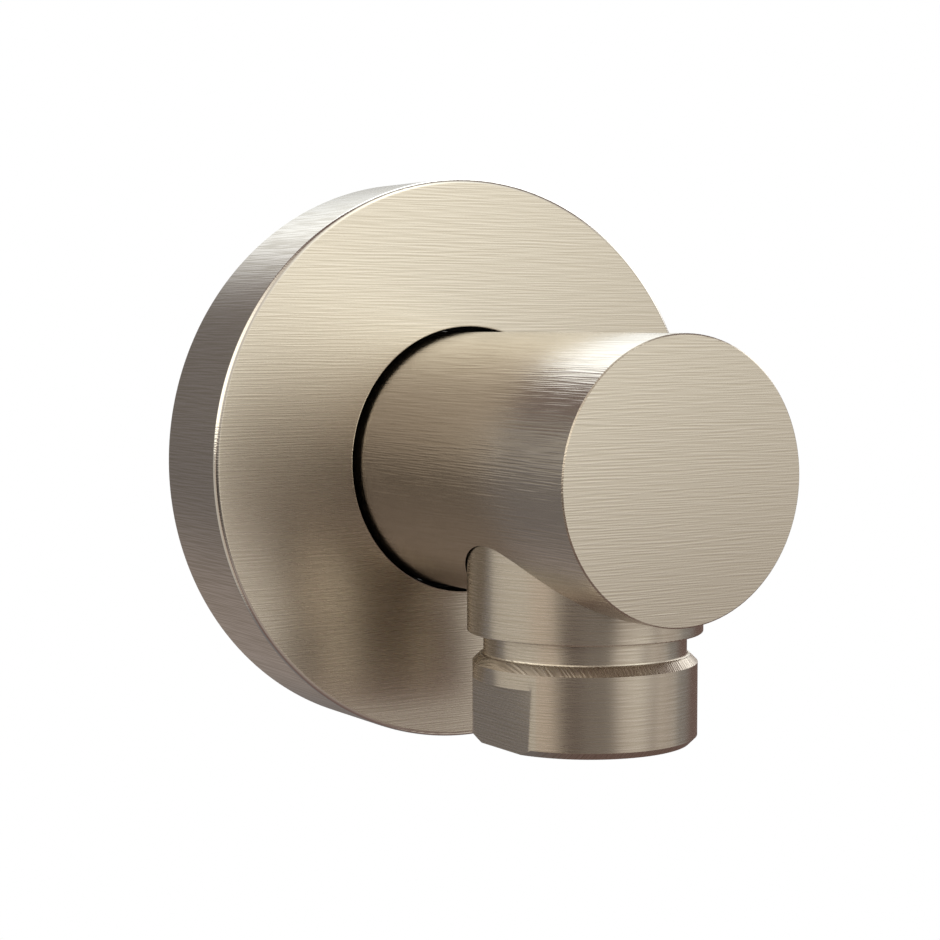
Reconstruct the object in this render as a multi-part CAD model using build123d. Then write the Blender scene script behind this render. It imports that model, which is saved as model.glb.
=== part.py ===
from build123d import *
import os

# Wall outlet elbow: takes water from a pipe in the wall and turns it down into a shower hose.
# Millimetres. The origin is the centre of the rosette's back, in the plane of the wall.
# X runs to the right, Y into the wall, Z up, so the front of the object looks along -Y.

# threads, drawn as plain cylinders
PIPE_MAJOR_D = 20.955      # half inch pipe thread, for the wall and the hose
PIPE_MINOR_D = 18.631
SHANK_THREAD = 0.55        # depth of the fine thread that holds the outlet in the barrel
THREAD_GAP = 0.05          # radial gap between two screwed pieces
HOSE_MOUTH = 1.2           # lead-in chamfer of the hose thread

# outlet: one turned piece under the barrel, sized outwards from the hose thread
OUTLET_Y = 39.15           # from the wall to the outlet's axis
RELIEF_DEPTH = 0.1225      # run-out groove of the hose thread, past its major radius
NECK_WALL = 1.2
BOSS_STEP = 1.875          # the boss stands this far out from the neck
RING_STEP = 1.25           # and the ring this far
BOSS_L = 13.4              # from the seat in the barrel down to the boss's lower edge
NECK_L = 2.65
RING_L = 10.15
BOSS_EDGE_R = 0.2
BOSS_GAP = 0.22            # radial gap between the boss and its bore in the barrel
NECK_R = 0.35              # small fillet at the foot of the neck
RING_TOP_CHAMFER = 0.85
RING_END_CHAMFER = 0.82
FLATS_AF = 23.0            # spanner size across the flats
FLATS_L = 7.5              # the flats reach this far up from the lower end

# barrel of the elbow
SIDE_WALL = 2.105          # between the boss's bore and the barrel's side
OUTLET_TO_FACE = 19.05     # from the outlet's axis to the barrel's flat front face
BARREL_EDGE = 0.15
BARREL_BACK_EDGE = 0.5
WATER_D = 14.0
SEAT_Z = -5.0              # the boss stops against this face inside the barrel
SHANK_L = 4.5              # threaded length above the boss
SHANK_WALL = 2.45
CHAMBER_TOP_Z = 8.5

# rosette: the round wall plate
ROSETTE_D = 70.0
ROSETTE_T = 13.5           # from the wall to its front face
ROSETTE_GAP = 0.625        # dark gap round the barrel
ROSETTE_EDGE_R = 0.6       # rounding of the front edge
HOLE_EDGE_R = 0.25
PLATE_T = 2.6              # thickness of the front plate, hollow behind
RIM_T = 3.5
LIP_T = 1.6                # thin outer lip round the wall seal
HUB_WALL = 4.0
HUB_BACK = 1.5             # the hub stops this far in front of the wall
HUB_CHAMFER = 0.4
INNER_R = 1.2              # rounding of the hollow's corners

# inlet nipple
COLLAR_BACK = 0.5          # from the wall to the collar
COLLAR_T = 2.0
COLLAR_LAP = 0.3           # the collar covers its seal by this much
COLLAR_CHAMFER = 0.4
INLET_THREAD_L = 12.0      # screwed into the barrel
INLET_ROOM = 1.0           # free depth past the nipple's end
NIPPLE_BACK = 14.0         # how far it stands into the wall
HEX_AF = 12.0
HEX_DEPTH = 8.0
HEX_LEDGE = 0.3            # the round bore is this much inside the hexagon's flats
NIPPLE_CHAMFER = 1.0

# round seals, drawn squeezed as installed
TOUCH = 0.02               # radial gap that keeps a seal clear of a round wall
SEAL_ROUND = 0.55
SMALL_SEAL_ROUND = 0.45
ROSETTE_RING_W = 2.3
ROSETTE_RING_H = 2.0
ROSETTE_RING_DEPTH = 6.3   # from the rosette's front face to the middle of its groove
GROOVE_SIDE = 0.15         # side play of a seal in its groove
INLET_RING_W = 2.2225
INLET_RING_H = 1.8
OUTLET_RING_W = 2.1
OUTLET_RING_H = 1.35

# flat seals
WALL_SEAL_T = 2.0
WASHER_T = 2.0
WASHER_HOLE_D = 12.0
WASHER_EDGE_GAP = 0.7      # between the washer's edge and the run-out groove
WASHER_ROOM = 0.2

# non-return valve cartridge
CART_BORE_D = 15.1
CART_GAP = 0.15
CART_L = 17.0
CART_WALL = 1.1
LIP_W = 1.05               # lip at the top of the outlet that stops the cartridge
LIP_H = 2.7
SEAT_HOLE_D = 8.4
SEAT_T = 3.4
SEAT_CHAMFER = 1.2
CART_RING_W = 1.6
CART_RING_H = 1.2
CART_RING_DEPTH = 1.7      # from the cartridge's top to the middle of its seal
SOCKET_WALL = 0.65         # housing's wall round the guide
GUIDE_FIT = 0.05
GUIDE_RING_T = 1.1
GUIDE_H = 3.0
RIB_W = 1.0
RIB_H = 2.2
RIBS = 4
STEM_D = 3.0
STEM_FIT = 0.05            # running fit of the stem in the guide's hub
STEM_END = 0.8             # the stem's end lies this far inside the cartridge
VALVE_TRAVEL = 3.0
SEAT_CLEAR = 0.1           # the closed seal lies this far from its seat
SEAT_LAP = 1.0             # width of the seal that covers the seat
POPPET_SEAL_T = 0.9
POPPET_LIP = 0.1
POPPET_T = 1.3
NOSE_GAP = 0.6
NOSE_H = 2.2
NOSE_ROUND = 1.6
SPRING_WIRE_D = 0.5
SPRING_TURNS = 5
SPRING_GAP = 0.6           # between the stem and the spring
SPRING_SPARE = 1.2         # left between the turns when the valve is wide open
SPRING_CLEAR = 0.05

# radii and places worked out from the values above
PIPE_R = PIPE_MAJOR_D / 2
HOSE_R = PIPE_MINOR_D / 2
RELIEF_R = PIPE_R + RELIEF_DEPTH
NECK_OUT_R = RELIEF_R + NECK_WALL
BOSS_R = NECK_OUT_R + BOSS_STEP
RING_R = NECK_OUT_R + RING_STEP
BOSS_BORE_R = BOSS_R + BOSS_GAP
BARREL_R = BOSS_BORE_R + SIDE_WALL
REACH = OUTLET_Y + OUTLET_TO_FACE
BARREL_BACK = COLLAR_BACK + COLLAR_T
NIPPLE_FRONT = BARREL_BACK + INLET_THREAD_L
INLET_SEAL_R = PIPE_R + INLET_RING_W
HOLE_R = BARREL_R + ROSETTE_GAP
ROSETTE_RING_Y = ROSETTE_T - ROSETTE_RING_DEPTH

CART_BORE_R = CART_BORE_D / 2
CART_R = CART_BORE_R - CART_GAP
CART_INNER_R = CART_R - CART_WALL
LIP_R = CART_BORE_R - LIP_W
SHANK_R = CART_BORE_R + SHANK_WALL
CHAMBER_R = SHANK_R - SHANK_THREAD
OUTLET_SEAL_R = SHANK_R + OUTLET_RING_W
GUIDE_SEAT_R = CART_R - SOCKET_WALL
GUIDE_R = GUIDE_SEAT_R - GUIDE_FIT
SEAT_HOLE_R = SEAT_HOLE_D / 2
NOSE_R = SEAT_HOLE_R - NOSE_GAP
POPPET_SEAL_R = SEAT_HOLE_R + SEAT_LAP
POPPET_R = POPPET_SEAL_R - POPPET_LIP
STEM_R = STEM_D / 2
SPRING_R = STEM_R + SPRING_GAP + SPRING_WIRE_D / 2
HUB_R = SPRING_R + SPRING_WIRE_D / 2

SHANK_TOP_Z = SEAT_Z + SHANK_L
BOSS_END_Z = SEAT_Z - BOSS_L
SHOULDER_Z = BOSS_END_Z - NECK_L
RING_END_Z = SHOULDER_Z - RING_L
FLATS_TOP_Z = RING_END_Z + FLATS_L
CART_TOP_Z = SHANK_TOP_Z - LIP_H
WASHER_TOP_Z = CART_TOP_Z - CART_L
WASHER_END_Z = WASHER_TOP_Z - WASHER_T
THREAD_TOP_Z = WASHER_END_Z - WASHER_ROOM
CART_RING_Z = CART_TOP_Z - CART_RING_DEPTH
GUIDE_TOP_Z = WASHER_TOP_Z + GUIDE_H
SEAT_FACE_Z = CART_TOP_Z - SEAT_T
POPPET_TOP_Z = SEAT_FACE_Z - SEAT_CLEAR - POPPET_SEAL_T
POPPET_END_Z = POPPET_TOP_Z - POPPET_T
HUB_TOP_Z = POPPET_END_Z - VALVE_TRAVEL - SPRING_TURNS * SPRING_WIRE_D - SPRING_SPARE
STEM_END_Z = WASHER_TOP_Z + STEM_END


def profile(points, rounds=(), cuts=()):
    """A flat closed outline. rounds and cuts hold (corner number, size) pairs."""
    face = make_face(Polyline(*points, close=True))
    for size_pairs, work in ((rounds, fillet), (cuts, chamfer)):
        for number, size in size_pairs:
            corner = face.vertices().sort_by_distance(points[number])[0]
            face = work(corner, size)
    return face


def turned_on_y(points, rounds=(), cuts=()):
    """Turn an outline of (radius, y) points about the barrel's axis."""
    spots = [(r, y, 0) for r, y in points]
    return revolve(profile(spots, rounds, cuts), Axis.Y)


def turned_on_z(points, rounds=(), cuts=()):
    """Turn an outline of (radius, z) points about the outlet's axis."""
    spots = [(r, 0, z) for r, z in points]
    return Pos(0, -OUTLET_Y, 0) * revolve(profile(spots, rounds, cuts), Axis.Z)


def rod_on_y(radius, y_front, y_back):
    length = y_back - y_front
    return Pos(0, y_front + length / 2, 0) * Rot(90, 0, 0) * Cylinder(radius, length)


def rod_on_z(radius, z_low, z_high):
    length = z_high - z_low
    return Pos(0, -OUTLET_Y, z_low + length / 2) * Cylinder(radius, length)


def rosette():
    front, plate = -ROSETTE_T, -ROSETTE_T + PLATE_T
    outer, hub = ROSETTE_D / 2, HOLE_R + HUB_WALL
    groove_r = BARREL_R + ROSETTE_RING_H
    half = ROSETTE_RING_W / 2 + GROOVE_SIDE
    points = [
        (HOLE_R, front), (outer, front), (outer, 0), (outer - LIP_T, 0),
        (outer - LIP_T, -WALL_SEAL_T), (outer - RIM_T, -WALL_SEAL_T),
        (outer - RIM_T, plate), (hub, plate), (hub, -HUB_BACK), (HOLE_R, -HUB_BACK),
        (HOLE_R, -ROSETTE_RING_Y + half), (groove_r, -ROSETTE_RING_Y + half),
        (groove_r, -ROSETTE_RING_Y - half), (HOLE_R, -ROSETTE_RING_Y - half),
    ]
    rounds = [(0, HOLE_EDGE_R), (1, ROSETTE_EDGE_R), (6, INNER_R), (7, INNER_R)]
    return turned_on_y(points, rounds, [(8, HUB_CHAMFER)])


def rosette_wall_seal():
    outer = ROSETTE_D / 2 - LIP_T - TOUCH
    inner = ROSETTE_D / 2 - RIM_T
    return turned_on_y([(inner, -WALL_SEAL_T), (outer, -WALL_SEAL_T), (outer, 0), (inner, 0)])


def seal_on_y(inner, outer, y_front, y_back):
    points = [(inner, y_front), (outer, y_front), (outer, y_back), (inner, y_back)]
    return turned_on_y(points, [(i, SEAL_ROUND) for i in range(4)])


def seal_on_z(inner, outer, z_low, z_high):
    points = [(inner, z_low), (outer, z_low), (outer, z_high), (inner, z_high)]
    return turned_on_z(points, [(i, SMALL_SEAL_ROUND) for i in range(4)])


def rosette_o_ring():
    half = ROSETTE_RING_W / 2
    inner, outer = BARREL_R + TOUCH, BARREL_R + ROSETTE_RING_H - TOUCH
    return seal_on_y(inner, outer, -ROSETTE_RING_Y - half, -ROSETTE_RING_Y + half)


def elbow_body():
    front, back = -REACH, -BARREL_BACK
    barrel = turned_on_y(
        [(0, front), (BARREL_R, front), (BARREL_R, back), (0, back)],
        cuts=[(1, BARREL_EDGE), (2, BARREL_BACK_EDGE)],
    )
    inlet = rod_on_y(PIPE_R + THREAD_GAP, -NIPPLE_FRONT - INLET_ROOM, back)
    seal_room = rod_on_y(INLET_SEAL_R, back - INLET_RING_H, back)
    water = rod_on_y(WATER_D / 2, -OUTLET_Y, -NIPPLE_FRONT)
    chamber = rod_on_z(CHAMBER_R, SHANK_TOP_Z, CHAMBER_TOP_Z)
    shank_room = rod_on_z(SHANK_R + THREAD_GAP, SEAT_Z, SHANK_TOP_Z)
    boss_room = rod_on_z(BOSS_BORE_R, -2 * BARREL_R, SEAT_Z)
    return barrel - inlet - seal_room - water - chamber - shank_room - boss_room


def inlet_nipple():
    collar_front, collar_r = -BARREL_BACK, INLET_SEAL_R + COLLAR_LAP
    bore_r = HEX_AF / 2 - HEX_LEDGE
    points = [
        (bore_r, -NIPPLE_FRONT), (PIPE_R, -NIPPLE_FRONT), (PIPE_R, collar_front),
        (collar_r, collar_front), (collar_r, -COLLAR_BACK), (PIPE_R, -COLLAR_BACK),
        (PIPE_R, NIPPLE_BACK), (bore_r, NIPPLE_BACK),
    ]
    cuts = [(1, NIPPLE_CHAMFER), (3, COLLAR_CHAMFER), (4, COLLAR_CHAMFER), (6, NIPPLE_CHAMFER)]
    key = RegularPolygon(HEX_AF / 2, 6, major_radius=False)
    socket = Pos(0, -NIPPLE_FRONT, 0) * Rot(-90, 0, 0) * extrude(key, HEX_DEPTH)
    return turned_on_y(points, cuts=cuts) - socket


def inlet_o_ring():
    back = -BARREL_BACK
    return seal_on_y(PIPE_R + TOUCH, INLET_SEAL_R - TOUCH, back - INLET_RING_H, back)


def outlet_spigot():
    groove_r, groove_z = OUTLET_SEAL_R + GROOVE_SIDE, SEAT_Z - OUTLET_RING_H
    chamfer_r = RING_R - RING_TOP_CHAMFER
    points = [
        (LIP_R, SHANK_TOP_Z), (SHANK_R, SHANK_TOP_Z), (SHANK_R, groove_z),
        (groove_r, groove_z), (groove_r, SEAT_Z), (BOSS_R, SEAT_Z), (BOSS_R, BOSS_END_Z),
        (NECK_OUT_R, BOSS_END_Z), (NECK_OUT_R, SHOULDER_Z), (chamfer_r, SHOULDER_Z),
        (RING_R, SHOULDER_Z - RING_TOP_CHAMFER), (RING_R, RING_END_Z + RING_END_CHAMFER),
        (RING_R - RING_END_CHAMFER, RING_END_Z), (HOSE_R + HOSE_MOUTH, RING_END_Z),
        (HOSE_R, RING_END_Z + HOSE_MOUTH), (HOSE_R, THREAD_TOP_Z), (RELIEF_R, THREAD_TOP_Z),
        (RELIEF_R, WASHER_TOP_Z), (CART_BORE_R, WASHER_TOP_Z), (CART_BORE_R, CART_TOP_Z),
        (LIP_R, CART_TOP_Z),
    ]
    rounds, cuts = [(6, BOSS_EDGE_R), (8, NECK_R)], [(1, SHANK_THREAD), (5, 0.3)]
    spigot = turned_on_z(points, rounds, cuts)
    depth = RING_R
    for side in (-1, 1):
        cutter = Box(depth, 3 * RING_R, 2 * FLATS_L)
        x = side * (FLATS_AF / 2 + depth / 2)
        spigot -= Pos(x, -OUTLET_Y, FLATS_TOP_Z - FLATS_L) * cutter
    return spigot


def spigot_o_ring():
    return seal_on_z(SHANK_R + TOUCH, OUTLET_SEAL_R, SEAT_Z - OUTLET_RING_H, SEAT_Z)


def outlet_washer():
    inner, outer = WASHER_HOLE_D / 2, RELIEF_R - WASHER_EDGE_GAP
    low, high = WASHER_END_Z, WASHER_TOP_Z
    return turned_on_z([(inner, low), (outer, low), (outer, high), (inner, high)])


def valve_housing():
    groove_r = CART_BORE_R - CART_RING_H
    half = CART_RING_W / 2 + GROOVE_SIDE
    points = [
        (SEAT_HOLE_R, CART_TOP_Z), (CART_R, CART_TOP_Z), (CART_R, CART_RING_Z + half),
        (groove_r, CART_RING_Z + half), (groove_r, CART_RING_Z - half),
        (CART_R, CART_RING_Z - half), (CART_R, WASHER_TOP_Z), (GUIDE_SEAT_R, WASHER_TOP_Z),
        (GUIDE_SEAT_R, GUIDE_TOP_Z), (CART_INNER_R, GUIDE_TOP_Z),
        (CART_INNER_R, SEAT_FACE_Z), (SEAT_HOLE_R, SEAT_FACE_Z),
    ]
    return turned_on_z(points, cuts=[(0, SEAT_CHAMFER)])


def valve_o_ring():
    inner, outer = CART_BORE_R - CART_RING_H + TOUCH, CART_BORE_R - TOUCH
    half = CART_RING_W / 2
    return seal_on_z(inner, outer, CART_RING_Z - half, CART_RING_Z + half)


def valve_guide():
    low, inner = WASHER_TOP_Z, GUIDE_R - GUIDE_RING_T
    guide = rod_on_z(GUIDE_R, low, GUIDE_TOP_Z) - rod_on_z(inner, low, GUIDE_TOP_Z)
    guide += rod_on_z(HUB_R, low, HUB_TOP_Z)
    rib_start, rib_end = HUB_R - STEM_FIT, inner + GUIDE_RING_T / 2
    rib = Box(rib_end - rib_start, RIB_W, RIB_H)
    for i in range(RIBS):
        turn = Rot(0, 0, 45 + i * 360 / RIBS)
        place = Pos((rib_start + rib_end) / 2, 0, 0)
        guide += Pos(0, -OUTLET_Y, low + RIB_H / 2) * turn * place * rib
    return guide - rod_on_z(STEM_R + STEM_FIT, low, HUB_TOP_Z)


def valve_poppet():
    points = [
        (0, POPPET_TOP_Z + NOSE_H), (NOSE_R, POPPET_TOP_Z + NOSE_H), (NOSE_R, POPPET_TOP_Z),
        (POPPET_R, POPPET_TOP_Z), (POPPET_R, POPPET_END_Z), (STEM_R, POPPET_END_Z),
        (STEM_R, STEM_END_Z), (0, STEM_END_Z),
    ]
    return turned_on_z(points, rounds=[(1, NOSE_ROUND)], cuts=[(4, 0.3), (6, 0.4)])


def poppet_seal():
    inner, outer = NOSE_R + TOUCH, POPPET_SEAL_R
    low, high = POPPET_TOP_Z, POPPET_TOP_Z + POPPET_SEAL_T
    return turned_on_z([(inner, low), (outer, low), (outer, high), (inner, high)], [(2, 0.3)])


def valve_spring():
    low = HUB_TOP_Z + SPRING_WIRE_D / 2 + SPRING_CLEAR
    high = POPPET_END_Z - SPRING_WIRE_D / 2 - SPRING_CLEAR
    path = Helix((high - low) / SPRING_TURNS, high - low, SPRING_R)
    wire = Plane(path @ 0, z_dir=path % 0) * Circle(SPRING_WIRE_D / 2)
    return Pos(0, -OUTLET_Y, low) * sweep(wire, path, is_frenet=True)


PIECES = [
    rosette, rosette_wall_seal, rosette_o_ring, elbow_body, inlet_nipple, inlet_o_ring,
    outlet_spigot, spigot_o_ring, outlet_washer, valve_housing, valve_o_ring, valve_guide,
    valve_poppet, poppet_seal, valve_spring,
]

os.makedirs("parts", exist_ok=True)
for piece in PIECES:
    name = piece.__name__
    solid = piece()
    export_step(solid, f"parts/{name}.step")
    print(name, round(solid.volume, 1), "mm3")
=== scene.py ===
from math import ceil, cos, hypot, pi, radians
import bmesh
import bpy
from mathutils import Matrix, Vector


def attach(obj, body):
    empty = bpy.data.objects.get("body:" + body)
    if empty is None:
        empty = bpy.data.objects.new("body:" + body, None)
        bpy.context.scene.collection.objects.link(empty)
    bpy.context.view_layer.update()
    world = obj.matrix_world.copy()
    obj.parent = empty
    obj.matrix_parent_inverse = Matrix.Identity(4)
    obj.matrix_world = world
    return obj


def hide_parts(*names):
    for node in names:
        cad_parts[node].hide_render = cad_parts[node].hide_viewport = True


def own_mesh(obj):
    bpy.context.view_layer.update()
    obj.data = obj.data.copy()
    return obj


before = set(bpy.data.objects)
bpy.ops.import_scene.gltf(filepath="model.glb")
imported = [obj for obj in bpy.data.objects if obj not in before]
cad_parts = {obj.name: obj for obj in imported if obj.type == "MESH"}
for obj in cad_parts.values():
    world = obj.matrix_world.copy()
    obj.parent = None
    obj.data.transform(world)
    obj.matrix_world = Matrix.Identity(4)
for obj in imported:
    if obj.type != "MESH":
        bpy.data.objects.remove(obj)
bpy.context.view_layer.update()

# sizes in metres, the same as the solids have
MM = 0.001
ROSETTE_R, ROSETTE_T, PLATE_T = 35.0 * MM, 13.5 * MM, 2.6 * MM
RIM_T, LIP_T, LIP_H = 3.5 * MM, 1.6 * MM, 2.0 * MM
HOLE_R, HUB_WALL, HUB_BACK = 16.625 * MM, 4.0 * MM, 1.5 * MM
GROOVE_R, GROOVE_FRONT, GROOVE_BACK = 18.0 * MM, 8.5 * MM, 5.9 * MM
ROSETTE_EDGE_R, HOLE_EDGE_R, HOLLOW_R, HUB_CHAMFER = 0.6 * MM, 0.25 * MM, 1.2 * MM, 0.4 * MM
OUTLET_Y = -39.15 * MM
PIPE_PITCH, PIPE_R, PIPE_ROOT_R = 1.814 * MM, 10.4775 * MM, 9.3155 * MM
HOSE_TOP_Z, HOSE_END_Z, HOSE_MOUTH = -22.4 * MM, -31.2 * MM, 1.2 * MM
HOSE_MOUTH_R = PIPE_ROOT_R + HOSE_MOUTH
COLLAR_FRONT_Y, COLLAR_BACK_Y = -2.5 * MM, -0.5 * MM
NIPPLE_FRONT_Y, NIPPLE_BACK_Y, NIPPLE_CHAMFER = -14.5 * MM, 14.0 * MM, 1.0 * MM
NIPPLE_TIP_R = PIPE_R - NIPPLE_CHAMFER
SPRING_R, SPRING_WIRE_R, SPRING_TURNS = 2.35 * MM, 0.25 * MM, 5
SPRING_LOW_Z, SPRING_HIGH_Z = -15.3 * MM, -9.2 * MM    # middle of its wire at both ends

# how finely the round pieces are made: steps in a turn, and points of a thread's or a wire's profile
ROSETTE_STEPS = 256
THREAD_STEPS, THREAD_POINTS = 96, 10
SPRING_STEPS, WIRE_POINTS = 48, 16
SHARP_ANGLE = radians(32)                 # an edge bent more than this stays crisp
HAIR, SEAM_REACH = 0.001 * MM, 0.02 * MM  # how near counts as the same place, and as the same seam

# how the threads are cut
FLANK_GAIN = 1.25                         # a wave made this much taller and cut off has flat crests
RUN_OUT, COLLAR_RUN_OUT = 3, 0.8          # how steeply a thread ends
END_FACE = 0.9                            # a face that looks along the axis more than this is an end

# brush lines of the nickel plate
LINE_PITCH, CHAMFER_PITCH = 0.21 * MM, 0.26 * MM
FACE_DEPTH, RIM_DEPTH, BARREL_DEPTH = 0.008 * MM, 0.005 * MM, 0.04 * MM
OUTLET_DEPTH, CHAMFER_DEPTH = 0.004 * MM, 0.028 * MM
WAVE, WAVE_SCALE = 0.05 * MM, 90.0        # how far the lines sway, and how often
HALF_LINE = 0.5
LINES_MIDDLE, LINES_SPREAD = 0.5, 0.2     # level where there is no line, and how far lines leave it

# colours and roughness of the nickel plate
NICKEL_DARK, NICKEL_LIGHT = (0.54, 0.49, 0.414, 1.0), (0.72, 0.67, 0.61, 1.0)
NICKEL_ROUGH, NICKEL_SMOOTH = 0.31, 0.25
# roughness of the polished edge, and the paler colour painted on it as a highlight
EDGE_ROUGHNESS, EDGE_HIGHLIGHT_COLOUR = 0.13, (0.8, 0.78, 0.74, 1.0)
SIDE_GLOSS = 0.88                         # roughness of the turned sides, as a share of the faces'

BLACK, WHITE = (0.0, 0.0, 0.0, 1.0), (1.0, 1.0, 1.0, 1.0)


def node_maker(material):
    """Short way to add a shader node, set its sockets and link others into it.

    A socket is given by its name, or as i and its number where the name isn't clear.
    """
    tree = material.node_tree

    def add(kind, props=None, **sockets):
        node = tree.nodes.new(kind)
        for key, value in (props or {}).items():
            setattr(node, key, value)
        for key, value in sockets.items():
            name = key.replace("_", " ")
            slot = node.inputs[int(key[1:])] if key[1:].isdigit() else node.inputs[name]
            if isinstance(value, bpy.types.NodeSocket):
                tree.links.new(value, slot)
            else:
                slot.default_value = value
        return node

    return add


def fresh_material(name):
    """An empty material, and the short way to add nodes to it."""
    material = bpy.data.materials.new(name)
    material.use_nodes = True
    material.node_tree.nodes.clear()
    return material, node_maker(material)


def finish_surface(material, add, shader):
    """Link the last shader to the material's output."""
    output = add("ShaderNodeOutputMaterial")
    material.node_tree.links.new(shader.outputs[0], output.inputs["Surface"])
    return material


def stretched_noise(add, point, scale, detail=1.0, offset=(0, 0, 0)):
    """Noise drawn out into hair lines, along the axis whose scale is smallest."""
    spot = add("ShaderNodeMapping", i0=point, i1=offset, i3=scale).outputs[0]
    return add("ShaderNodeTexNoise", Vector=spot, Scale=1.0, Detail=detail).outputs[0]


def brush_lines(add, point, along, length, pitch=LINE_PITCH, strength=1.0):
    """Fine brush lines, a little wavy: a noise less the same noise half a line beside it.

    along holds the axes that the lines may run on. The step beside them is on the last other axis.
    """
    wave = add("ShaderNodeTexNoise", Vector=point, Scale=WAVE_SCALE, Detail=1.0).outputs[1]
    shift = add("ShaderNodeVectorMath", {"operation": "MULTIPLY_ADD"}, i0=wave,
                i1=(WAVE, WAVE, WAVE), i2=point).outputs[0]
    scale = [1 / length if axis in along else 1 / pitch for axis in range(3)]
    across = max({0, 1, 2} - set(along))
    beside = [HALF_LINE if axis == across else 0.0 for axis in range(3)]
    here, there = [stretched_noise(add, shift, scale, 0.0, move) for move in ((0, 0, 0), beside)]
    step = add("ShaderNodeMath", {"operation": "SUBTRACT"}, i0=here, i1=there).outputs[0]
    return add("ShaderNodeMath", {"operation": "MULTIPLY_ADD"}, i0=step, i1=strength,
               i2=LINES_MIDDLE).outputs[0]


def part_of_normal(add, normal, axis):
    """How much the surface faces along one axis, from 0 to 1."""
    share = add("ShaderNodeSeparateXYZ", Vector=normal).outputs[axis]
    return add("ShaderNodeMath", {"operation": "ABSOLUTE"}, i0=share).outputs[0]


def nickel_shader(material, add, lines, grain, depth, gloss, polish_and_highlight_edge, contrast):
    """Warm nickel plate with brush lines. The edge mask, if any, is 1 where an edge is polished: it
    is smoother there, and paler in colour as a painted highlight.
    """
    spread = LINES_SPREAD / contrast
    shade = add("ShaderNodeMapRange", Value=lines, From_Min=LINES_MIDDLE - spread,
                From_Max=LINES_MIDDLE + spread).outputs[0]
    colour = add("ShaderNodeMix", {"data_type": "RGBA"}, i0=shade, i6=NICKEL_DARK,
                 i7=NICKEL_LIGHT).outputs[2]
    rough = add("ShaderNodeMapRange", Value=lines, From_Min=LINES_MIDDLE - LINES_SPREAD,
                From_Max=LINES_MIDDLE + LINES_SPREAD, To_Min=NICKEL_ROUGH,
                To_Max=NICKEL_SMOOTH).outputs[0]
    rough = add("ShaderNodeMath", {"operation": "MULTIPLY"}, i0=rough, i1=gloss).outputs[0]
    if polish_and_highlight_edge:
        # painted highlight: the polished edge is made paler in colour, while its polish is the lower
        # roughness below
        colour = add("ShaderNodeMix", {"data_type": "RGBA"}, i0=polish_and_highlight_edge, i6=colour,
                     i7=EDGE_HIGHLIGHT_COLOUR).outputs[2]
        rough = add("ShaderNodeMix", i0=polish_and_highlight_edge, i2=rough, i3=EDGE_ROUGHNESS).outputs[0]
    relief = add("ShaderNodeBump", Strength=1.0, Distance=depth, Height=lines).outputs[0]
    shader = add("ShaderNodeBsdfPrincipled", Base_Color=colour, Metallic=1.0, Roughness=rough,
                 Anisotropic=0.6, Tangent=grain, Normal=relief)
    return finish_surface(material, add, shader)


def nickel_turned_on_y(name, face_length, side_length, side_strength, side_depth, contrast,
                       polished_highlit_edge):
    """Nickel of a piece round about Y: lines straight across its face, lengthwise on its side."""
    material, add = fresh_material(name)
    place = add("ShaderNodeTexCoord")
    point, normal = place.outputs["Object"], place.outputs["Normal"]
    face_lines = brush_lines(add, point, (0,), face_length)
    side_lines = brush_lines(add, point, (1,), side_length, strength=side_strength)
    facing = part_of_normal(add, normal, 1)
    front = add("ShaderNodeMapRange", Value=facing, From_Min=0.6, From_Max=0.8).outputs[0]
    lines = add("ShaderNodeMix", i0=front, i2=side_lines, i3=face_lines).outputs[0]
    upright = add("ShaderNodeCombineXYZ", Z=1.0).outputs[0]
    across = add("ShaderNodeVectorMath", {"operation": "CROSS_PRODUCT"}, i0=normal,
                 i1=(0.0, 1.0, 0.0)).outputs[0]
    grain = add("ShaderNodeMix", {"data_type": "VECTOR"}, i0=front, i4=across, i5=upright).outputs[1]
    depth = add("ShaderNodeMapRange", Value=front, To_Min=side_depth, To_Max=FACE_DEPTH).outputs[0]
    gloss = add("ShaderNodeMapRange", Value=front, To_Min=SIDE_GLOSS, To_Max=1.0).outputs[0]
    edge = None
    # a polished edge, smoother and with a painted highlight in its colour
    if polished_highlit_edge:
        edge = soft_window(add, facing, low=0.12, high=0.97, low_fade=0.1, high_fade=0.04)
    return nickel_shader(material, add, lines, grain, depth, gloss, edge, contrast)


def nickel_turned_on_z(name, length, chamfer_length, contrast):
    """Nickel of the outlet: lines run round it, and straight back over its chamfers."""
    material, add = fresh_material(name)
    place = add("ShaderNodeTexCoord")
    point, normal = place.outputs["Object"], place.outputs["Normal"]
    round_lines = brush_lines(add, point, (0, 1), length)
    chamfer_lines = brush_lines(add, point, (1, 2), chamfer_length, CHAMFER_PITCH)
    facing = part_of_normal(add, normal, 2)
    chamfer = add("ShaderNodeMapRange", Value=facing, From_Min=0.4, From_Max=0.6).outputs[0]
    lines = add("ShaderNodeMix", i0=chamfer, i2=round_lines, i3=chamfer_lines).outputs[0]
    depth = add("ShaderNodeMapRange", Value=chamfer, To_Min=OUTLET_DEPTH,
                To_Max=CHAMFER_DEPTH).outputs[0]
    upright = add("ShaderNodeCombineXYZ", Z=1.0).outputs[0]
    sideways = add("ShaderNodeCombineXYZ", X=1.0).outputs[0]
    grain = add("ShaderNodeMix", {"data_type": "VECTOR"}, i0=chamfer, i4=upright,
                i5=sideways).outputs[1]
    return nickel_shader(material, add, lines, grain, depth, 1.0, None, contrast)


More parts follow.
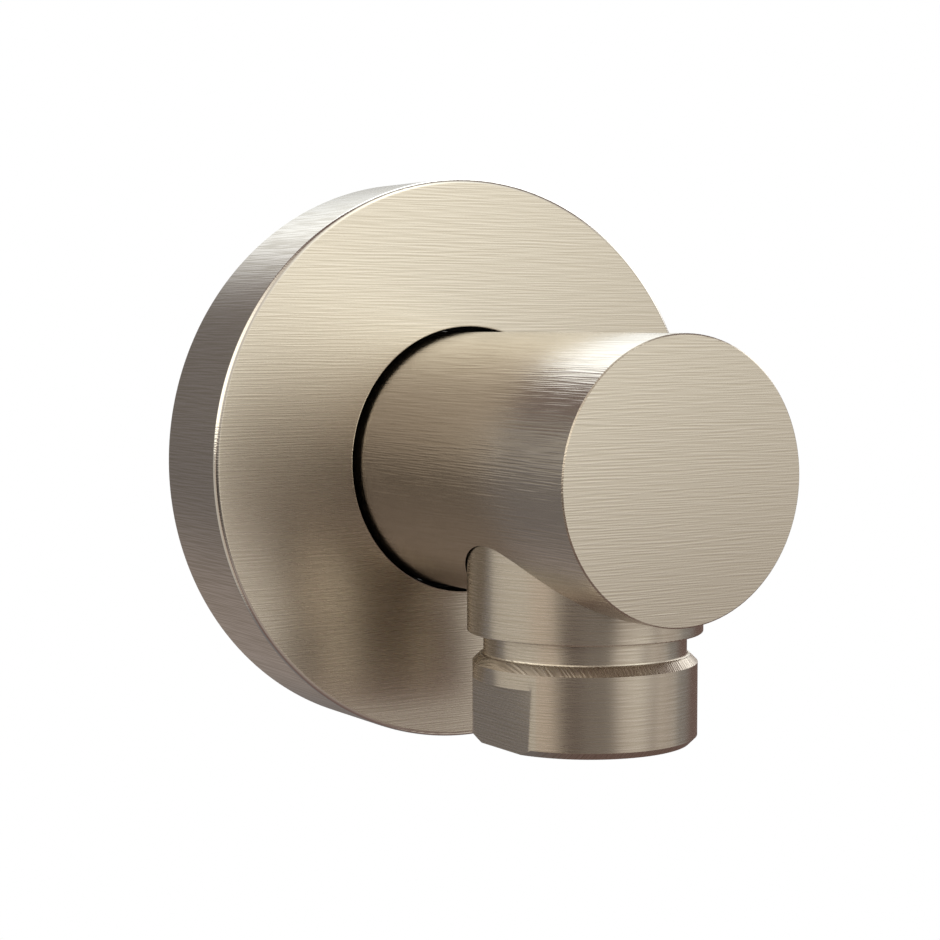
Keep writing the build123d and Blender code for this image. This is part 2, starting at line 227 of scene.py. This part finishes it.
def turned_brass(name):
    """Plain brass turned on Y, with fine tool rings and a little dull patina."""
    material, add = fresh_material(name)
    point = add("ShaderNodeTexCoord").outputs["Object"]
    rings = brush_lines(add, point, (0, 2), 5.0 * MM)
    patina = add("ShaderNodeTexNoise", Vector=point, Scale=260.0, Detail=4.0).outputs[0]
    patina = add("ShaderNodeMapRange", Value=patina, From_Min=0.4, From_Max=0.75).outputs[0]
    clean = add("ShaderNodeMix", {"data_type": "RGBA"}, i0=rings, i6=(0.66, 0.46, 0.19, 1.0),
                i7=(0.86, 0.66, 0.33, 1.0)).outputs[2]
    colour = add("ShaderNodeMix", {"data_type": "RGBA"}, i0=patina, i6=clean,
                 i7=(0.5, 0.34, 0.16, 1.0)).outputs[2]
    rough = add("ShaderNodeMapRange", Value=rings, To_Min=0.24, To_Max=0.42).outputs[0]
    relief = add("ShaderNodeBump", Strength=0.4, Distance=0.03 * MM, Height=rings).outputs[0]
    shader = add("ShaderNodeBsdfPrincipled", Base_Color=colour, Metallic=1.0, Roughness=rough,
                 Normal=relief)
    return finish_surface(material, add, shader)


def seal_rubber(name):
    """Black moulded rubber: matt, faintly mottled, with a fine skin texture."""
    material, add = fresh_material(name)
    point = add("ShaderNodeTexCoord").outputs["Object"]
    mottle = add("ShaderNodeTexNoise", Vector=point, Scale=900.0, Detail=4.0).outputs[0]
    skin = add("ShaderNodeTexNoise", Vector=point, Scale=6000.0, Detail=2.0).outputs[0]
    colour = add("ShaderNodeMix", {"data_type": "RGBA"}, i0=mottle, i6=(0.008, 0.008, 0.009, 1.0),
                 i7=(0.03, 0.03, 0.031, 1.0)).outputs[2]
    rough = add("ShaderNodeMapRange", Value=mottle, To_Min=0.55, To_Max=0.8).outputs[0]
    relief = add("ShaderNodeBump", Strength=0.3, Distance=0.03 * MM, Height=skin).outputs[0]
    shader = add("ShaderNodeBsdfPrincipled", Base_Color=colour, Roughness=rough, Normal=relief)
    return finish_surface(material, add, shader)


def moulded_plastic(name, pale, dark):
    """Hard moulded valve plastic with a satin skin and slight flow marks."""
    material, add = fresh_material(name)
    point = add("ShaderNodeTexCoord").outputs["Object"]
    flow = add("ShaderNodeTexNoise", Vector=point, Scale=350.0, Detail=3.0, Distortion=1.2).outputs[0]
    grain = add("ShaderNodeTexNoise", Vector=point, Scale=5000.0, Detail=2.0).outputs[0]
    colour = add("ShaderNodeMix", {"data_type": "RGBA"}, i0=flow, i6=dark, i7=pale).outputs[2]
    rough = add("ShaderNodeMapRange", Value=flow, To_Min=0.32, To_Max=0.5).outputs[0]
    relief = add("ShaderNodeBump", Strength=0.2, Distance=0.02 * MM, Height=grain).outputs[0]
    shader = add("ShaderNodeBsdfPrincipled", Base_Color=colour, Roughness=rough, Normal=relief)
    return finish_surface(material, add, shader)


def spring_wire(name):
    """Bright drawn steel wire with fine die lines."""
    material, add = fresh_material(name)
    point = add("ShaderNodeTexCoord").outputs["Object"]
    lines = stretched_noise(add, point, (3000.0, 3000.0, 9000.0))
    colour = add("ShaderNodeMix", {"data_type": "RGBA"}, i0=lines, i6=(0.42, 0.42, 0.43, 1.0),
                 i7=(0.72, 0.72, 0.73, 1.0)).outputs[2]
    rough = add("ShaderNodeMapRange", Value=lines, To_Min=0.2, To_Max=0.38).outputs[0]
    relief = add("ShaderNodeBump", Strength=0.3, Distance=0.02 * MM, Height=lines).outputs[0]
    shader = add("ShaderNodeBsdfPrincipled", Base_Color=colour, Metallic=1.0, Roughness=rough,
                 Normal=relief)
    return finish_surface(material, add, shader)


def fading(add, value, low, high, start, end):
    """Goes smoothly from start to end while the value goes from low to high."""
    return add("ShaderNodeMapRange", {"interpolation_type": "SMOOTHSTEP"}, Value=value, From_Min=low,
               From_Max=high, To_Min=start, To_Max=end).outputs[0]


def soft_window(add, value, low, high, low_fade, high_fade):
    """1 between low and high, fading out softly at both ends."""
    rise = fading(add, value, low - low_fade / 2, low + low_fade / 2, 0.0, 1.0)
    return fading(add, value, high - high_fade / 2, high + high_fade / 2, rise, 0.0)


def tent_window(add, azimuth, elevation, middle, half, fade, low, high, low_fade, high_fade):
    """1 inside a panel of the tent, fading out softly all round it."""
    off = add("ShaderNodeMath", {"operation": "SUBTRACT"}, i0=azimuth, i1=middle).outputs[0]
    off = add("ShaderNodeMath", {"operation": "WRAP"}, i0=off, i1=180.0, i2=-180.0).outputs[0]
    off = add("ShaderNodeMath", {"operation": "ABSOLUTE"}, i0=off).outputs[0]
    sideways = fading(add, off, half - fade / 2, half + fade / 2, 1.0, 0.0)
    upwards = soft_window(add, elevation, low, high, low_fade, high_fade)
    return add("ShaderNodeMath", {"operation": "MULTIPLY"}, i0=sideways, i1=upwards).outputs[0]


def light_tent(name, ambient, soft_boxes, flag):
    """The inside of a studio tent: a low level all round, soft-edged light panels and a dark flag.

    Angles are in degrees. Azimuth 0 is straight in front of the wall and 90 is to the right.
    """
    material, add = fresh_material(name)
    point = add("ShaderNodeTexCoord").outputs["Object"]
    way = add("ShaderNodeVectorMath", {"operation": "NORMALIZE"}, i0=point).outputs[0]
    across, depth, height = add("ShaderNodeSeparateXYZ", Vector=way).outputs
    front = add("ShaderNodeMath", {"operation": "MULTIPLY"}, i0=depth, i1=-1.0).outputs[0]
    azimuth = add("ShaderNodeMath", {"operation": "ARCTAN2"}, i0=across, i1=front).outputs[0]
    azimuth = add("ShaderNodeMath", {"operation": "DEGREES"}, i0=azimuth).outputs[0]
    elevation = add("ShaderNodeMath", {"operation": "ARCSINE"}, i0=height).outputs[0]
    elevation = add("ShaderNodeMath", {"operation": "DEGREES"}, i0=elevation).outputs[0]
    light = add("ShaderNodeRGB").outputs[0]
    light.default_value = (*ambient, 1.0)
    for *panel, colour in soft_boxes:
        share = tent_window(add, azimuth, elevation, *panel)
        lit = add("ShaderNodeMix", {"data_type": "RGBA"}, i0=share, i6=BLACK,
                  i7=(*colour, 1.0)).outputs[2]
        light = add("ShaderNodeMix", {"data_type": "RGBA", "blend_type": "ADD"}, i0=1.0, i6=light,
                    i7=lit).outputs[2]
    *panel, dark = flag
    share = tent_window(add, azimuth, elevation, *panel)
    level = add("ShaderNodeMapRange", Value=share, To_Min=1.0, To_Max=dark).outputs[0]
    return finish_surface(material, add, add("ShaderNodeEmission", Color=light, Strength=level))


ROSETTE_NICKEL = nickel_turned_on_y(
    "brushed_nickel_rosette", face_length=6.0 * MM, side_length=6.0 * MM, side_strength=2.5,
    side_depth=RIM_DEPTH, contrast=0.45, polished_highlit_edge=True)
BARREL_NICKEL = nickel_turned_on_y(
    "brushed_nickel_barrel", face_length=5.0 * MM, side_length=6.0 * MM, side_strength=1.0,
    side_depth=BARREL_DEPTH, contrast=0.5, polished_highlit_edge=False)
OUTLET_NICKEL = nickel_turned_on_z(
    "brushed_nickel_outlet", length=5.0 * MM, chamfer_length=3.0 * MM, contrast=0.65)
BRASS = turned_brass("turned_brass")
RUBBER = seal_rubber("seal_rubber")
PALE_PLASTIC = moulded_plastic(
    "pale_valve_plastic", pale=(0.82, 0.82, 0.79, 1.0), dark=(0.7, 0.7, 0.67, 1.0))
GREY_PLASTIC = moulded_plastic(
    "grey_valve_plastic", pale=(0.36, 0.39, 0.43, 1.0), dark=(0.25, 0.27, 0.3, 1.0))
WIRE = spring_wire("spring_wire")

FINISHES = {
    "rosette": ROSETTE_NICKEL, "elbow_body": BARREL_NICKEL, "outlet_spigot": OUTLET_NICKEL,
    "inlet_nipple": BRASS, "rosette_wall_seal": RUBBER, "rosette_o_ring": RUBBER,
    "inlet_o_ring": RUBBER, "spigot_o_ring": RUBBER, "outlet_washer": RUBBER,
    "valve_o_ring": RUBBER, "poppet_seal": RUBBER, "valve_housing": PALE_PLASTIC,
    "valve_guide": GREY_PLASTIC, "valve_poppet": GREY_PLASTIC, "valve_spring": WIRE,
}


def dress(node, material):
    """Give a solid this material in all its slots."""
    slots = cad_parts[node].data.materials
    if len(slots):
        for i in range(len(slots)):
            slots[i] = material
    else:
        slots.append(material)


for node, material in FINISHES.items():
    dress(node, material)


def fine_piece(name, shape, node, body):
    """Make the piece that stands for a solid, with smooth curves and crisp edges."""
    for face in shape.faces:
        face.smooth = True
    for edge in shape.edges:
        edge.smooth = len(edge.link_faces) == 2 and edge.calc_face_angle(0.0) < SHARP_ANGLE
    mesh = bpy.data.meshes.new(name)
    shape.to_mesh(mesh)
    shape.free()
    mesh.materials.append(FINISHES[node])
    piece = bpy.data.objects.new(name, mesh)
    bpy.context.scene.collection.objects.link(piece)
    piece.modifiers.new("even_normals", "WEIGHTED_NORMAL").keep_sharp = True
    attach(piece, body)
    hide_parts(node)
    return piece


def turned_on_y(outline, steps):
    """Spin a closed outline of (radius, y) corners about the barrel's axis."""
    shape = bmesh.new()
    corners = [shape.verts.new((radius, y, 0.0)) for radius, y in outline]
    edges = [shape.edges.new(pair) for pair in zip(corners, corners[1:] + corners[:1])]
    bmesh.ops.spin(shape, geom=corners + edges, cent=(0, 0, 0), axis=(0, 1, 0), angle=2 * pi,
                   steps=steps, use_merge=True)
    bmesh.ops.recalc_face_normals(shape, faces=shape.faces)
    return shape


def work_edge(shape, radius, y, size, segments):
    """Round the ring edge at this radius and y, or chamfer it with a single segment."""
    ring = [
        edge for edge in shape.edges
        if all(abs(hypot(end.co.x, end.co.z) - radius) < HAIR and abs(end.co.y - y) < HAIR
               for end in edge.verts)
    ]
    bmesh.ops.bevel(shape, geom=ring, offset=size, offset_type="OFFSET", segments=segments,
                    profile=0.5, affect="EDGES", material=-1, clamp_overlap=True)


def fine_rosette():
    """The rosette, turned as the solid is but in finer steps."""
    front, plate = -ROSETTE_T, PLATE_T - ROSETTE_T
    rim, lip, hub = ROSETTE_R - RIM_T, ROSETTE_R - LIP_T, HOLE_R + HUB_WALL
    shape = turned_on_y([
        (HOLE_R, front), (ROSETTE_R, front), (ROSETTE_R, 0), (lip, 0), (lip, -LIP_H), (rim, -LIP_H),
        (rim, plate), (hub, plate), (hub, -HUB_BACK), (HOLE_R, -HUB_BACK), (HOLE_R, -GROOVE_BACK),
        (GROOVE_R, -GROOVE_BACK), (GROOVE_R, -GROOVE_FRONT), (HOLE_R, -GROOVE_FRONT),
    ], ROSETTE_STEPS)
    work_edge(shape, ROSETTE_R, front, ROSETTE_EDGE_R, segments=8)
    work_edge(shape, HOLE_R, front, HOLE_EDGE_R, segments=5)
    work_edge(shape, rim, plate, HOLLOW_R, segments=6)
    work_edge(shape, hub, plate, HOLLOW_R, segments=6)
    work_edge(shape, hub, -HUB_BACK, HUB_CHAMFER, segments=1)
    return shape


def pipe_thread(low, high, keep_to, inside):
    """A right-hand pipe thread on Z between two heights. keep_to trims its radius at each height.

    The surface of an inside thread looks towards the axis.
    """
    middle, half = (PIPE_R + PIPE_ROOT_R) / 2, (PIPE_R - PIPE_ROOT_R) / 2
    shape = bmesh.new()
    corners = []
    for i in range(THREAD_POINTS + 1):
        flank = max(-1.0, min(1.0, FLANK_GAIN * cos(2 * pi * i / THREAD_POINTS)))
        height = low + PIPE_PITCH * (i / THREAD_POINTS - 1)
        corners.append(shape.verts.new((middle + half * flank, 0.0, height)))
    edges = [shape.edges.new(pair) for pair in zip(corners, corners[1:])]
    turns = ceil((high - low) / PIPE_PITCH) + 2
    bmesh.ops.spin(shape, geom=corners + edges, cent=(0, 0, 0), axis=(0, 0, 1), angle=2 * pi * turns,
                   dvec=(0, 0, PIPE_PITCH / THREAD_STEPS), steps=THREAD_STEPS * turns)
    bmesh.ops.remove_doubles(shape, verts=shape.verts, dist=HAIR)
    for height, way in ((low, -1), (high, 1)):
        everything = shape.verts[:] + shape.edges[:] + shape.faces[:]
        bmesh.ops.bisect_plane(shape, geom=everything, plane_co=(0, 0, height), plane_no=(0, 0, way),
                               clear_outer=True)
    for vert in shape.verts:
        radius = hypot(vert.co.x, vert.co.y)
        trim = keep_to(vert.co.z, radius) / radius
        vert.co.x *= trim
        vert.co.y *= trim
    bmesh.ops.recalc_face_normals(shape, faces=shape.faces)
    flat = Vector((1, 1, 0))
    outwards = sum(face.normal.dot(face.calc_center_median() * flat) for face in shape.faces)
    if (outwards < 0) != inside:
        bmesh.ops.reverse_faces(shape, faces=shape.faces)
    return shape


def male_trim(collar, tip):
    """A male thread runs out at its collar and is cut by the chamfer of its tip."""

    def keep_to(height, radius):
        from_tip, from_collar = abs(height - tip), abs(height - collar)
        radius = min(radius, NIPPLE_TIP_R + from_tip)
        run_out = max(NIPPLE_TIP_R - RUN_OUT * from_tip, PIPE_R - COLLAR_RUN_OUT * from_collar)
        return max(radius, run_out)

    return keep_to


def female_trim(height, radius):
    """The hose thread opens into its mouth and runs out below the washer's groove."""
    radius = max(radius, HOSE_MOUTH_R - (height - HOSE_END_Z))
    return min(radius, PIPE_ROOT_R + RUN_OUT * (HOSE_TOP_Z - height))


def copy_without(node, plain):
    """The solid's mesh, merged, without the faces that plain picks out."""
    shape = bmesh.new()
    shape.from_mesh(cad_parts[node].data)
    bmesh.ops.remove_doubles(shape, verts=shape.verts, dist=HAIR)
    bmesh.ops.delete(shape, geom=[face for face in shape.faces if plain(face)], context="FACES")
    return shape


def add_shape(shape, other, matrix):
    """Put another shape into this one."""
    bmesh.ops.transform(other, matrix=matrix, verts=other.verts)
    carrier = bpy.data.meshes.new("carrier")
    other.to_mesh(carrier)
    other.free()
    shape.from_mesh(carrier)
    bpy.data.meshes.remove(carrier)


def close_seams(shape, axis, places):
    """Join the rings where a thread ends to the solid's own rings that they lie on."""
    for place in places:
        rings = [
            edge for edge in shape.edges
            if edge.is_boundary and all(abs(end.co[axis] - place) < SEAM_REACH for end in edge.verts)
        ]
        bmesh.ops.bridge_loops(shape, edges=rings)


def threaded_nipple():
    """The inlet nipple with a real pipe thread on each side of its collar."""

    def plain(face):
        on_thread = all(NIPPLE_TIP_R - HAIR < hypot(v.co.x, v.co.z) < PIPE_R + HAIR
                        for v in face.verts)
        return on_thread and abs(face.normal.y) < END_FACE

    shape = copy_without("inlet_nipple", plain)
    to_y = Matrix.Rotation(-pi / 2, 4, "X")
    for low, high, collar, tip in (
        (NIPPLE_FRONT_Y, COLLAR_FRONT_Y, COLLAR_FRONT_Y, NIPPLE_FRONT_Y),
        (COLLAR_BACK_Y, NIPPLE_BACK_Y, COLLAR_BACK_Y, NIPPLE_BACK_Y),
    ):
        add_shape(shape, pipe_thread(low, high, male_trim(collar, tip), False), to_y)
    close_seams(shape, 1, (NIPPLE_FRONT_Y, COLLAR_FRONT_Y, COLLAR_BACK_Y, NIPPLE_BACK_Y))
    return shape


def threaded_spigot():
    """The outlet with a real pipe thread in its mouth."""

    def plain(face):
        on_thread = all(
            PIPE_ROOT_R - HAIR < hypot(v.co.x, v.co.y - OUTLET_Y) < HOSE_MOUTH_R + HAIR
            and HOSE_END_Z - HAIR < v.co.z < HOSE_TOP_Z + HAIR for v in face.verts)
        return on_thread and abs(face.normal.z) < END_FACE

    shape = copy_without("outlet_spigot", plain)
    place = Matrix.Translation((0, OUTLET_Y, 0))
    add_shape(shape, pipe_thread(HOSE_END_Z, HOSE_TOP_Z, female_trim, True), place)
    close_seams(shape, 2, (HOSE_END_Z, HOSE_TOP_Z))
    return shape


def coil_spring():
    """The valve's spring: its round wire, spun upwards about the outlet's axis."""
    steps = SPRING_STEPS * SPRING_TURNS
    shape = bmesh.new()
    start = Matrix.Translation((SPRING_R, OUTLET_Y, SPRING_LOW_Z)) @ Matrix.Rotation(pi / 2, 4, "X")
    bmesh.ops.create_circle(shape, segments=WIRE_POINTS, radius=SPRING_WIRE_R, matrix=start)
    bmesh.ops.spin(shape, geom=shape.verts[:] + shape.edges[:], cent=(0, OUTLET_Y, 0), axis=(0, 0, 1),
                   angle=2 * pi * SPRING_TURNS, dvec=(0, 0, (SPRING_HIGH_Z - SPRING_LOW_Z) / steps),
                   steps=steps)
    bmesh.ops.holes_fill(shape, edges=shape.edges)
    bmesh.ops.recalc_face_normals(shape, faces=shape.faces)
    return shape


fine_piece("turned_rosette", fine_rosette(), "rosette", "elbow")
fine_piece("threaded_nipple", threaded_nipple(), "inlet_nipple", "elbow")
fine_piece("threaded_spigot", threaded_spigot(), "outlet_spigot", "elbow")
spring = fine_piece("coil_spring", coil_spring(), "valve_spring", "elbow")
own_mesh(spring)


def stage_mesh(name, shape, material):
    """A mesh that belongs to the studio, not to the part."""
    mesh = bpy.data.meshes.new(name)
    shape.to_mesh(mesh)
    shape.free()
    mesh.materials.append(material)
    piece = bpy.data.objects.new(name, mesh)
    bpy.context.scene.collection.objects.link(piece)
    return piece


# middle and half width in azimuth, fade, lowest and highest elevation, their fades, colour
SOFT_BOXES = (
    (29, 2, 103, -4, 72, 26, 33, (2.57, 2.66, 2.4)),       # key light, right of the front
    (270, 46, 33, 5, 51, 6, 50, (1.56, 1.49, 1.27)),       # fill light on the left
    (265, 40, 8, -42, 3, 14, 22, (0.34, 0.31, 0.25)),      # its weaker part below the horizon
    (146, 36, 24, 24, 75, 41, 38, (1.95, 2.09, 2.11)),     # back light, high behind on the right
    (204, 70, 20, -70, 27, 18, 8, (0.02, 0.06, 0.07)),     # cool glow low behind on the left
    (182, 18, 16, -42, -12, 12, 12, (0.14, 0.11, 0.09)),   # warm glow low behind
    (355, 32, 22, -7, 70, 175, 30, (0.65, 0.64, 0.56)),    # top light in front
    (56, 14, 6, -74, -7, 16, 53, (0.39, 0.38, 0.33)),      # low light on the right
    (78, 14, 22, -20, 8, 28, 41, (0.13, 0.18, 0.18)),      # cool edge of that low light
    (106, 38, 20, 12, 28, 9, 14, (1.6, 1.6, 1.52)),        # strip light on the right
)
# the same for the flag beside the camera, and the share of the light that it leaves
DARK_FLAG = (327, 30, 16, -18, 0, 22, 18, 0.1)
AMBIENT = (0.17, 0.114, 0.1)
tent_shape = bmesh.new()
bmesh.ops.create_uvsphere(tent_shape, u_segments=48, v_segments=24, radius=1.0)
tent = stage_mesh("light_tent", tent_shape,
                  light_tent("tent_light", AMBIENT, SOFT_BOXES, DARK_FLAG))
tent.visible_camera = False
tent.visible_diffuse = False
tent.visible_shadow = False


def area_lamp(name, spot, size, power):
    """A soft round lamp that points at the part. Reflections don't see it."""
    light = bpy.data.lights.new(name, "AREA")
    light.shape, light.size, light.energy = "DISK", size, power
    lamp = bpy.data.objects.new(name, light)
    turn = (-Vector(spot)).to_track_quat("-Z", "Y").to_matrix().to_4x4()
    lamp.matrix_world = Matrix.Translation(spot) @ turn
    lamp.visible_glossy = False
    bpy.context.scene.collection.objects.link(lamp)


area_lamp("lamp_above_left", spot=(-0.5, -0.6, 0.8), size=0.6, power=9.0)
area_lamp("lamp_right", spot=(0.8, -0.5, 0.3), size=0.5, power=4.0)


def seen_directly(add):
    """1 for rays from the camera, off a shiny surface or through a clear one."""
    path = add("ShaderNodeLightPath")
    seen = add("ShaderNodeMath", {"operation": "MAXIMUM"}, i0=path.outputs["Is Camera Ray"],
               i1=path.outputs["Is Glossy Ray"]).outputs[0]
    return add("ShaderNodeMath", {"operation": "MAXIMUM"}, i0=seen,
               i1=path.outputs["Is Transmission Ray"]).outputs[0]


# pale floor, far below because the part hangs on a wall
FLOOR_Z, FLOOR_HALF = -1.3, 8.0
pale, add = fresh_material("pale_floor")
matt = add("ShaderNodeBsdfDiffuse", Color=(0.8, 0.8, 0.8, 1.0))
glow = add("ShaderNodeEmission", Color=WHITE, Strength=1.0)
both = add("ShaderNodeMixShader", i0=seen_directly(add), i1=matt.outputs[0], i2=glow.outputs[0])
finish_surface(pale, add, both)
floor_shape = bmesh.new()
bmesh.ops.create_grid(floor_shape, x_segments=1, y_segments=1, size=FLOOR_HALF)
bmesh.ops.translate(floor_shape, verts=floor_shape.verts, vec=(0, 0, FLOOR_Z))
stage_mesh("floor", floor_shape, pale)

# the world is white where it is seen, and a softer white as light
world = bpy.data.worlds.new("studio")
bpy.context.scene.world = world
world.use_nodes = True
world.node_tree.nodes.clear()
add = node_maker(world)
level = add("ShaderNodeMapRange", Value=seen_directly(add), To_Min=0.6, To_Max=1.0).outputs[0]
sky = add("ShaderNodeBackground", Color=WHITE, Strength=level)
add("ShaderNodeOutputWorld", Surface=sky.outputs[0])

# camera at the photograph's place: 31.3 degrees to the left and a little above
CAMERA_PLACE = (-0.139912, -0.243451, 0.016947)
CAMERA_DOWN, CAMERA_TURN = 0.0678, -0.5466
SENSOR_WIDTH, FOCAL_LENGTH = 36.0, 82.197
lens = bpy.data.cameras.new("camera")
lens.sensor_width, lens.lens = SENSOR_WIDTH, FOCAL_LENGTH
lens.clip_start, lens.clip_end = 0.01, 50.0
camera = bpy.data.objects.new("camera", lens)
camera.location = CAMERA_PLACE
camera.rotation_euler = (pi / 2 - CAMERA_DOWN, 0.0, CAMERA_TURN)
bpy.context.scene.collection.objects.link(camera)
bpy.context.scene.camera = camera
bpy.context.scene.view_settings.view_transform = "Standard"
